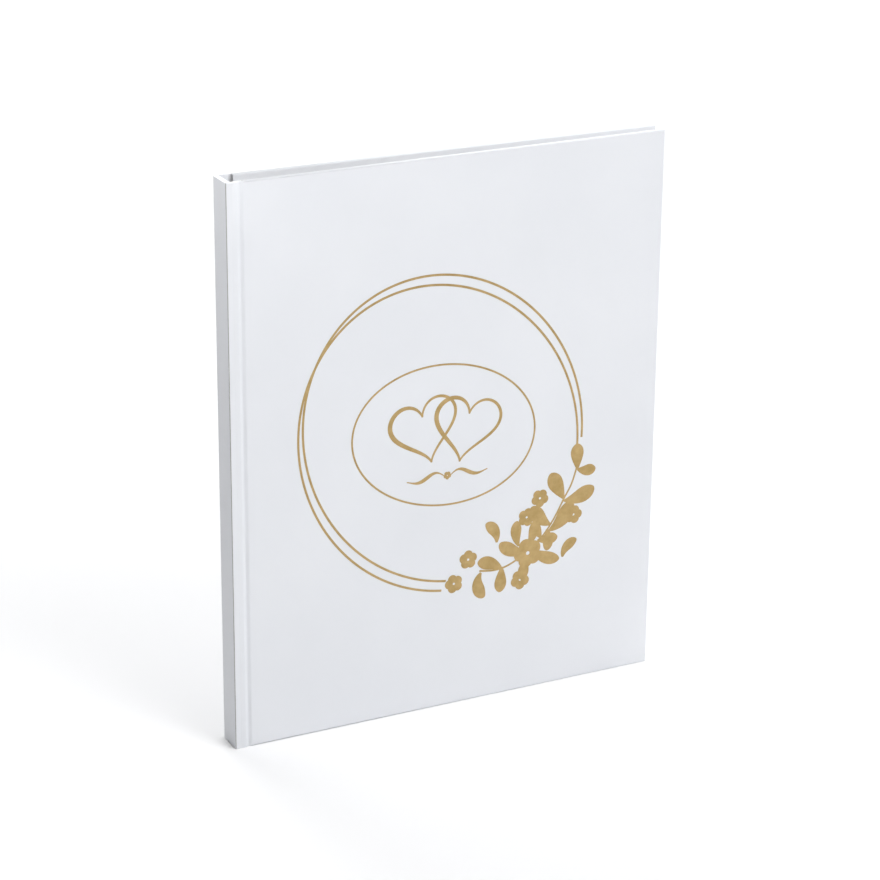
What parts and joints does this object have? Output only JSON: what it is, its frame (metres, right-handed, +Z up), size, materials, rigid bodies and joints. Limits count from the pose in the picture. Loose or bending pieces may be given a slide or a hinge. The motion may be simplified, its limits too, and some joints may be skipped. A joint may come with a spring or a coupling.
{
  "type": "wedding guest book",
  "caption": "Upright hardback guest book with a white wrapped case, gold ring-and-flower foil on the front, opening covers and sewn folded pages.",
  "frame": {"origin": "middle of the book's footprint on the surface it stands on", "axes": "+Z up the book from tail to head, +X from the spine to the fore-edge, -Y out of the front cover"},
  "size_m": [0.22, 0.0142, 0.27],
  "materials": {
    "cover_paper": "satin",
    "greyboard": "matte",
    "endpaper": "matte",
    "page_paper": "matte",
    "thread": "matte",
    "lining_cloth": "matte",
    "gold_foil": "satin"
  },
  "bodies": {
    "spine_block": {"spine_board": "greyboard", "spine_wrap": "cover_paper", "spine_lining": "lining_cloth", "sheet_3_1": "page_paper", "sheet_3_2": "page_paper", "sheet_3_3": "page_paper", "thread_3": "thread"},
    "front_cover": {"front_board": "greyboard", "front_cover_wrap": "cover_paper", "front_joint_wrap": "cover_paper", "front_pastedown": "endpaper", "foil_rings": "gold_foil", "foil_oval": "gold_foil", "foil_hearts": "gold_foil", "foil_spray": "gold_foil", "foil_flowers": "gold_foil"},
    "back_cover": {"back_board": "greyboard", "back_cover_wrap": "cover_paper", "back_joint_wrap": "cover_paper", "back_pastedown": "endpaper"},
    "front_flyleaf": {"front_flyleaf": "endpaper"},
    "section_1": {"sheet_1_1": "page_paper", "sheet_1_2": "page_paper", "sheet_1_3": "page_paper", "thread_1": "thread"},
    "section_2": {"sheet_2_1": "page_paper", "sheet_2_2": "page_paper", "sheet_2_3": "page_paper", "thread_2": "thread"},
    "section_4": {"sheet_4_1": "page_paper", "sheet_4_2": "page_paper", "sheet_4_3": "page_paper", "thread_4": "thread"},
    "section_5": {"sheet_5_1": "page_paper", "sheet_5_2": "page_paper", "sheet_5_3": "page_paper", "thread_5": "thread"},
    "back_flyleaf": {"back_flyleaf": "endpaper"}
  },
  "joints": [
    {"name": "front_cover_hinge", "type": "hinge", "parent": "spine_block", "child": "front_cover", "pos_m": [-0.1052, -0.00725, 0], "axis": [0, 0, -1], "range_deg": [0, 180]},
    {"name": "back_cover_hinge", "type": "hinge", "parent": "spine_block", "child": "back_cover", "pos_m": [-0.1052, 0.00725, 0], "axis": [0, 0, 1], "range_deg": [0, 180]},
    {"name": "front_flyleaf_turn", "type": "hinge", "parent": "spine_block", "child": "front_flyleaf", "pos_m": [-0.1042, -0.00448, 0], "axis": [0, 0, -1], "range_deg": [0, 90]},
    {"name": "section_1_turn", "type": "hinge", "parent": "spine_block", "child": "section_1", "pos_m": [-0.10365, -0.00375, 0], "axis": [0, 0, -1], "range_deg": [0, 72]},
    {"name": "section_2_turn", "type": "hinge", "parent": "spine_block", "child": "section_2", "pos_m": [-0.10365, -0.00187, 0], "axis": [0, 0, -1], "range_deg": [0, 36]},
    {"name": "section_4_turn", "type": "hinge", "parent": "spine_block", "child": "section_4", "pos_m": [-0.10365, 0.00187, 0], "axis": [0, 0, 1], "range_deg": [0, 36]},
    {"name": "section_5_turn", "type": "hinge", "parent": "spine_block", "child": "section_5", "pos_m": [-0.10365, 0.00375, 0], "axis": [0, 0, 1], "range_deg": [0, 72]},
    {"name": "back_flyleaf_turn", "type": "hinge", "parent": "spine_block", "child": "back_flyleaf", "pos_m": [-0.1042, 0.00448, 0], "axis": [0, 0, 1], "range_deg": [0, 90]}
  ],
  "couplings": [
    {"joint": "front_flyleaf_turn", "follows": "front_cover_hinge", "ratio": 0.5},
    {"joint": "section_1_turn", "follows": "front_cover_hinge", "ratio": 0.4},
    {"joint": "section_2_turn", "follows": "front_cover_hinge", "ratio": 0.2},
    {"joint": "section_4_turn", "follows": "back_cover_hinge", "ratio": 0.2},
    {"joint": "section_5_turn", "follows": "back_cover_hinge", "ratio": 0.4},
    {"joint": "back_flyleaf_turn", "follows": "back_cover_hinge", "ratio": 0.5}
  ]
}
